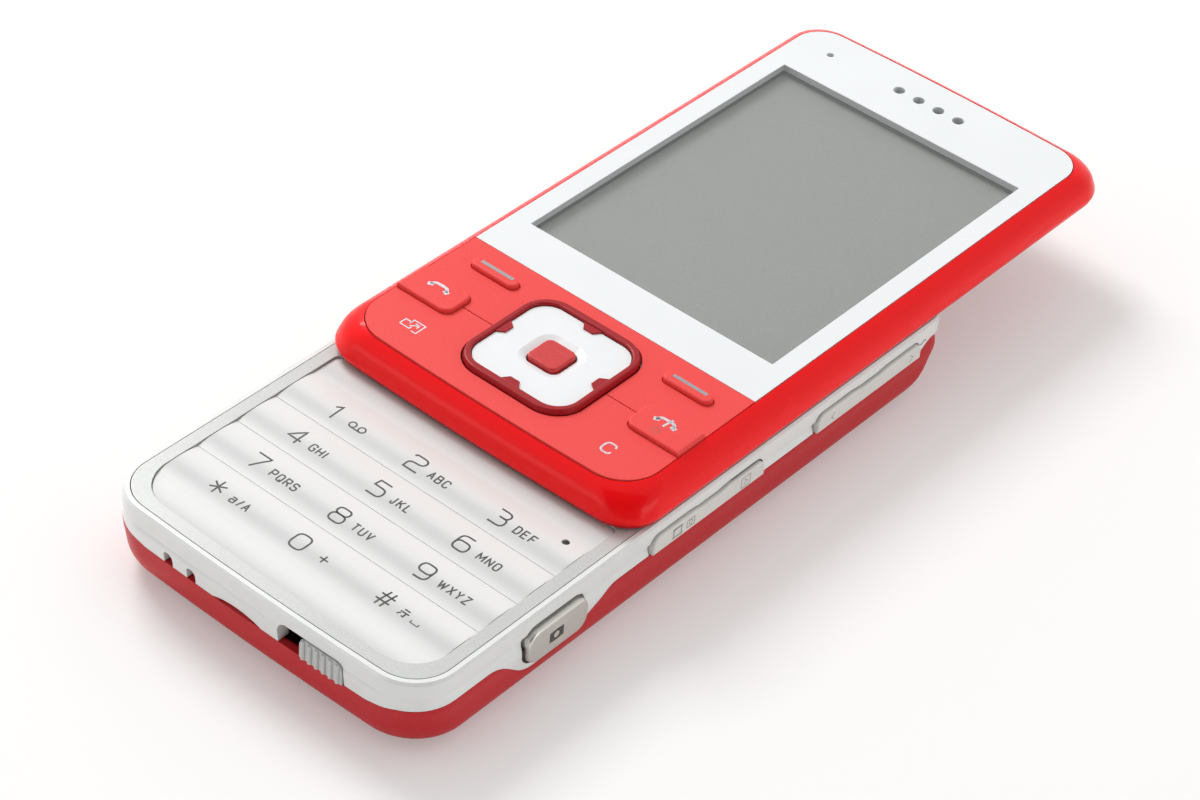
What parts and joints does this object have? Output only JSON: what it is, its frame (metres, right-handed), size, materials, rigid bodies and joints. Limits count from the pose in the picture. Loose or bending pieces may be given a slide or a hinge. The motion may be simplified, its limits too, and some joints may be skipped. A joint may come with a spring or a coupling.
{
  "type": "slider mobile phone",
  "caption": "Slider mobile phone, opened: display half with navigation ring and soft keys slides over a keypad half with side keys and a rear camera.",
  "frame": {"origin": "centre of the back face of the keypad half, on the surface it lies on", "axes": "+X to the right as the display is read, +Y towards the earpiece end, +Z out of the display"},
  "size_m": [0.0499, 0.1323, 0.0167],
  "materials": {
    "red_gloss": "glossy red with a fine metallic grain",
    "red_satin": "satin red",
    "red_dark": "satin dark red",
    "red_back": "satin red shell",
    "white_gloss": "glossy pearl white",
    "white_pad": "smooth white",
    "window_glass": "clear, glossy",
    "lens_glass": "coated lens window",
    "flash_glass": "ribbed clear",
    "lcd": "unlit display, fine grey grain",
    "black_plastic": "matt black",
    "mesh": "fine dark mesh",
    "sensor": "dark lens",
    "circuit_board": "solder-masked board",
    "silicone": "soft translucent grey",
    "dome_steel": "thin sprung steel",
    "rubber": "black rubber",
    "slide_steel": "stamped stainless sheet",
    "screw_steel": "blackened screw",
    "spring_steel": "bright wire",
    "flex_film": "amber film",
    "frame_white": "satin white",
    "deck_grey": "pearl light grey",
    "keypad_silver": "pearl silver",
    "shield_steel": "tinned sheet",
    "inner_plastic": "dark moulded plastic",
    "battery_wrap": "plain wrapped cell",
    "contact_gold": "gold-plated",
    "lens_chrome": "polished ring",
    "shutter_metal": "dark coated sheet",
    "lever_grey": "light grey, ribbed",
    "silver_key": "silver lacquer",
    "side_key": "warm off-white"
  },
  "bodies": {
    "lower": {"slide_base": "slide_steel", "base_screws": "screw_steel", "assist_spring": "spring_steel", "slide_flex": "flex_film", "lower_frame": "frame_white", "deck_plate": "deck_grey", "back_cover": "red_back", "keypad_mat": "silicone", "dome_sheet": "dome_steel", "main_board": "circuit_board", "shield_can": "shield_steel", "inner_chassis": "inner_plastic", "battery": "battery_wrap", "battery_contacts": "contact_gold", "lens_ring": "lens_chrome", "lens_window": "lens_glass", "flash_window": "flash_glass", "flash_module": "inner_plastic", "camera_module": "black_plastic", "side_switches": "inner_plastic", "loudspeaker": "black_plastic", "vibration_motor": "shield_steel", "card_holder": "shield_steel", "system_connector": "black_plastic"},
    "upper": {"upper_housing": "red_gloss", "front_panel": "white_gloss", "screen_window": "window_glass", "display_gasket": "black_plastic", "lcd_module": "lcd", "display_board": "circuit_board", "earpiece_speaker": "black_plastic", "earpiece_mesh": "mesh", "light_sensor": "sensor", "key_plate": "red_satin", "upper_keymat": "silicone", "upper_dome_sheet": "dome_steel", "slide_carriage": "slide_steel", "carriage_screws": "screw_steel"},
    "function_plate": {"function_plate": "red_satin"},
    "soft_key_left": {"soft_key_left": "red_satin"},
    "soft_key_right": {"soft_key_right": "red_satin"},
    "call_key": {"call_key": "red_satin"},
    "end_key": {"end_key": "red_satin"},
    "nav_gimbal": {"nav_gimbal": "rubber"},
    "select_button": {"select_button": "red_dark"},
    "keypad_row_1": {"keypad_row_1": "keypad_silver"},
    "keypad_row_2": {"keypad_row_2": "keypad_silver"},
    "keypad_row_3": {"keypad_row_3": "keypad_silver"},
    "keypad_row_4": {"keypad_row_4": "keypad_silver"},
    "camera_key": {"camera_key": "silver_key"},
    "mode_rocker": {"mode_rocker": "side_key"},
    "zoom_rocker": {"zoom_rocker": "side_key"},
    "nav_key": {"nav_ring": "red_dark", "nav_pad": "white_pad"},
    "lens_shutter": {"lens_shutter": "shutter_metal", "lens_lever": "lever_grey"}
  },
  "joints": [
    {"name": "slide_open", "type": "slide", "parent": "lower", "child": "upper", "axis": [0, 1, 0], "range_m": [-0.035, 0], "deforming": ["assist_spring", "slide_flex"]},
    {"name": "soft_key_left_press", "type": "slide", "parent": "upper", "child": "soft_key_left", "axis": [0, 0, 1], "range_m": [-0.00025, 0], "stiffness_N_per_m": 1500},
    {"name": "soft_key_right_press", "type": "slide", "parent": "upper", "child": "soft_key_right", "axis": [0, 0, 1], "range_m": [-0.00025, 0], "stiffness_N_per_m": 1500},
    {"name": "call_key_press", "type": "slide", "parent": "upper", "child": "call_key", "axis": [0, 0, 1], "range_m": [-0.00025, 0], "stiffness_N_per_m": 1500},
    {"name": "end_key_press", "type": "slide", "parent": "upper", "child": "end_key", "axis": [0, 0, 1], "range_m": [-0.00025, 0], "stiffness_N_per_m": 1500},
    {"name": "select_button_press", "type": "slide", "parent": "upper", "child": "select_button", "axis": [0, 0, 1], "range_m": [-0.00025, 0], "stiffness_N_per_m": 1500},
    {"name": "function_rock", "type": "hinge", "parent": "upper", "child": "function_plate", "pos_m": [0, -0.0095, 0.0154], "axis": [0, 1, 0], "range_deg": [-0.7, 0.7], "stiffness_Nm_per_rad": 0.8},
    {"name": "nav_tilt_up_down", "type": "hinge", "parent": "upper", "child": "nav_gimbal", "pos_m": [0, 0.0008, 0.0149], "axis": [1, 0, 0], "range_deg": [-1.5, 1.5], "stiffness_Nm_per_rad": 0.2},
    {"name": "nav_tilt_left_right", "type": "hinge", "parent": "nav_gimbal", "child": "nav_key", "pos_m": [0, 0.0008, 0.0149], "axis": [0, 1, 0], "range_deg": [-1.5, 1.5], "stiffness_Nm_per_rad": 0.2},
    {"name": "keypad_row_1_press", "type": "slide", "parent": "lower", "child": "keypad_row_1", "axis": [0, 0, 1], "range_m": [-0.00025, 0], "stiffness_N_per_m": 1500},
    {"name": "keypad_row_2_press", "type": "slide", "parent": "lower", "child": "keypad_row_2", "axis": [0, 0, 1], "range_m": [-0.00025, 0], "stiffness_N_per_m": 1500},
    {"name": "keypad_row_3_press", "type": "slide", "parent": "lower", "child": "keypad_row_3", "axis": [0, 0, 1], "range_m": [-0.00025, 0], "stiffness_N_per_m": 1500},
    {"name": "keypad_row_4_press", "type": "slide", "parent": "lower", "child": "keypad_row_4", "axis": [0, 0, 1], "range_m": [-0.00025, 0], "stiffness_N_per_m": 1500},
    {"name": "camera_key_press", "type": "slide", "parent": "lower", "child": "camera_key", "axis": [1, 0, 0], "range_m": [-0.00025, 0], "stiffness_N_per_m": 1500},
    {"name": "mode_rock", "type": "hinge", "parent": "lower", "child": "mode_rocker", "pos_m": [0.0235, 0.0009, 0.0083], "axis": [0, 0, 1], "range_deg": [-1.2, 1.2], "stiffness_Nm_per_rad": 0.4},
    {"name": "zoom_rock", "type": "hinge", "parent": "lower", "child": "zoom_rocker", "pos_m": [0.0235, 0.0317, 0.0083], "axis": [0, 0, 1], "range_deg": [-1.2, 1.2], "stiffness_Nm_per_rad": 0.4},
    {"name": "lens_cover_slide", "type": "slide", "parent": "lower", "child": "lens_shutter", "axis": [1, 0, 0], "range_m": [-0.0033, 0]}
  ]
}
